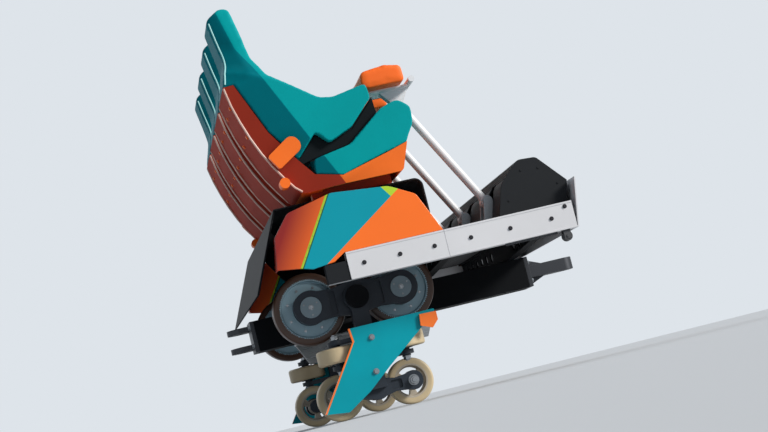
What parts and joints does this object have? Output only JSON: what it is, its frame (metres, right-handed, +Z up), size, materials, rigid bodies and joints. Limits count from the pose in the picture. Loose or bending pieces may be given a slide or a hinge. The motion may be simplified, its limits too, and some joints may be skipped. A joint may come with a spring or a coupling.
{
  "type": "roller coaster car",
  "caption": "Four-abreast passenger car of a steel roller coaster train, with seats and lap bars on a deck and two wheel carriers that wrap round tubular rails.",
  "frame": {"origin": "midway between the rails, level with their tops, straight under the wheel carriers' axle", "axes": "+X forward, +Y to the car's left, +Z up"},
  "size_m": [1.76, 2.1, 1.8946],
  "materials": {
    "chassis_black": "satin",
    "coupling_steel": "satin",
    "moulding_black": "matte",
    "deck_white": "satin",
    "sill_white": "satin",
    "fairing_paint": "gloss",
    "casting_grey": "satin",
    "cover_teal": "gloss",
    "shell_orange": "gloss",
    "pad_teal": "matte",
    "lap_bar_white": "gloss",
    "lap_pad_orange": "matte",
    "road_wheel": "satin",
    "guide_wheel": "satin",
    "upstop_wheel": "satin"
  },
  "bodies": {
    "chassis": {"spine_beam": "chassis_black", "axle_beam": "chassis_black", "outriggers": "chassis_black", "front_coupling": "coupling_steel", "rear_coupling": "coupling_steel", "brake_fin": "coupling_steel", "rear_skirt": "chassis_black", "floor_deck": "deck_white", "foot_rest": "moulding_black", "seat_base": "chassis_black", "seat_apron": "moulding_black", "sill_right": "sill_white", "sill_left": "sill_white", "fairing_right": "fairing_paint", "fairing_left": "fairing_paint", "seat_shell_1": "shell_orange", "seat_shell_2": "shell_orange", "seat_shell_3": "shell_orange", "seat_shell_4": "shell_orange", "back_pad_1": "pad_teal", "back_pad_2": "pad_teal", "back_pad_3": "pad_teal", "back_pad_4": "pad_teal", "seat_cushion_1": "pad_teal", "seat_cushion_2": "pad_teal", "seat_cushion_3": "pad_teal", "seat_cushion_4": "pad_teal"},
    "bogie_right": {"wheel_carrier_right": "casting_grey", "cover_plate_right": "cover_teal"},
    "bogie_left": {"wheel_carrier_left": "casting_grey", "cover_plate_left": "cover_teal"},
    "lap_bar_1": {"lap_arm_1": "lap_bar_white", "lap_pad_1": "lap_pad_orange"},
    "lap_bar_2": {"lap_arm_2": "lap_bar_white", "lap_pad_2": "lap_pad_orange"},
    "lap_bar_3": {"lap_arm_3": "lap_bar_white", "lap_pad_3": "lap_pad_orange"},
    "lap_bar_4": {"lap_arm_4": "lap_bar_white", "lap_pad_4": "lap_pad_orange"},
    "road_wheel_right_front": {"road_wheel_right_front": "road_wheel"},
    "road_wheel_right_rear": {"road_wheel_right_rear": "road_wheel"},
    "road_wheel_left_front": {"road_wheel_left_front": "road_wheel"},
    "road_wheel_left_rear": {"road_wheel_left_rear": "road_wheel"},
    "guide_wheel_right_front": {"guide_wheel_right_front": "guide_wheel"},
    "guide_wheel_right_rear": {"guide_wheel_right_rear": "guide_wheel"},
    "guide_wheel_left_front": {"guide_wheel_left_front": "guide_wheel"},
    "guide_wheel_left_rear": {"guide_wheel_left_rear": "guide_wheel"},
    "upstop_wheel_right_front": {"upstop_wheel_right_front": "upstop_wheel"},
    "upstop_wheel_right_rear": {"upstop_wheel_right_rear": "upstop_wheel"},
    "upstop_wheel_left_front": {"upstop_wheel_left_front": "upstop_wheel"},
    "upstop_wheel_left_rear": {"upstop_wheel_left_rear": "upstop_wheel"}
  },
  "joints": [
    {"name": "bogie_right_rock", "type": "hinge", "parent": "chassis", "child": "bogie_right", "pos_m": [0, -0.65, 0.165], "axis": [0, 1, 0], "range_deg": [-6, 6]},
    {"name": "bogie_left_rock", "type": "hinge", "parent": "chassis", "child": "bogie_left", "pos_m": [0, 0.65, 0.165], "axis": [0, 1, 0], "range_deg": [-6, 6]},
    {"name": "lap_bar_1_hinge", "type": "hinge", "parent": "chassis", "child": "lap_bar_1", "pos_m": [0.662, -0.78, 0.44], "axis": [0, 1, 0], "range_deg": [-8, 32]},
    {"name": "lap_bar_2_hinge", "type": "hinge", "parent": "chassis", "child": "lap_bar_2", "pos_m": [0.662, -0.26, 0.44], "axis": [0, 1, 0], "range_deg": [-8, 32]},
    {"name": "lap_bar_3_hinge", "type": "hinge", "parent": "chassis", "child": "lap_bar_3", "pos_m": [0.662, 0.26, 0.44], "axis": [0, 1, 0], "range_deg": [-8, 32]},
    {"name": "lap_bar_4_hinge", "type": "hinge", "parent": "chassis", "child": "lap_bar_4", "pos_m": [0.662, 0.78, 0.44], "axis": [0, 1, 0], "range_deg": [-8, 32]},
    {"name": "road_wheel_right_front_spin", "type": "hinge", "parent": "bogie_right", "child": "road_wheel_right_front", "pos_m": [0.21, -0.55, 0.165], "axis": [0, 1, 0], "continuous": true},
    {"name": "road_wheel_right_rear_spin", "type": "hinge", "parent": "bogie_right", "child": "road_wheel_right_rear", "pos_m": [-0.21, -0.55, 0.165], "axis": [0, 1, 0], "continuous": true},
    {"name": "road_wheel_left_front_spin", "type": "hinge", "parent": "bogie_left", "child": "road_wheel_left_front", "pos_m": [0.21, 0.55, 0.165], "axis": [0, 1, 0], "continuous": true},
    {"name": "road_wheel_left_rear_spin", "type": "hinge", "parent": "bogie_left", "child": "road_wheel_left_rear", "pos_m": [-0.21, 0.55, 0.165], "axis": [0, 1, 0], "continuous": true},
    {"name": "guide_wheel_right_front_spin", "type": "hinge", "parent": "bogie_right", "child": "guide_wheel_right_front", "pos_m": [0.15, -0.722, -0.075], "axis": [0, 0, 1], "continuous": true},
    {"name": "guide_wheel_right_rear_spin", "type": "hinge", "parent": "bogie_right", "child": "guide_wheel_right_rear", "pos_m": [-0.15, -0.722, -0.075], "axis": [0, 0, 1], "continuous": true},
    {"name": "guide_wheel_left_front_spin", "type": "hinge", "parent": "bogie_left", "child": "guide_wheel_left_front", "pos_m": [0.15, 0.722, -0.075], "axis": [0, 0, 1], "continuous": true},
    {"name": "guide_wheel_left_rear_spin", "type": "hinge", "parent": "bogie_left", "child": "guide_wheel_left_rear", "pos_m": [-0.15, 0.722, -0.075], "axis": [0, 0, 1], "continuous": true},
    {"name": "upstop_wheel_right_front_spin", "type": "hinge", "parent": "bogie_right", "child": "upstop_wheel_right_front", "pos_m": [0.165, -0.55, -0.257], "axis": [0, 1, 0], "continuous": true},
    {"name": "upstop_wheel_right_rear_spin", "type": "hinge", "parent": "bogie_right", "child": "upstop_wheel_right_rear", "pos_m": [-0.165, -0.55, -0.257], "axis": [0, 1, 0], "continuous": true},
    {"name": "upstop_wheel_left_front_spin", "type": "hinge", "parent": "bogie_left", "child": "upstop_wheel_left_front", "pos_m": [0.165, 0.55, -0.257], "axis": [0, 1, 0], "continuous": true},
    {"name": "upstop_wheel_left_rear_spin", "type": "hinge", "parent": "bogie_left", "child": "upstop_wheel_left_rear", "pos_m": [-0.165, 0.55, -0.257], "axis": [0, 1, 0], "continuous": true}
  ]
}
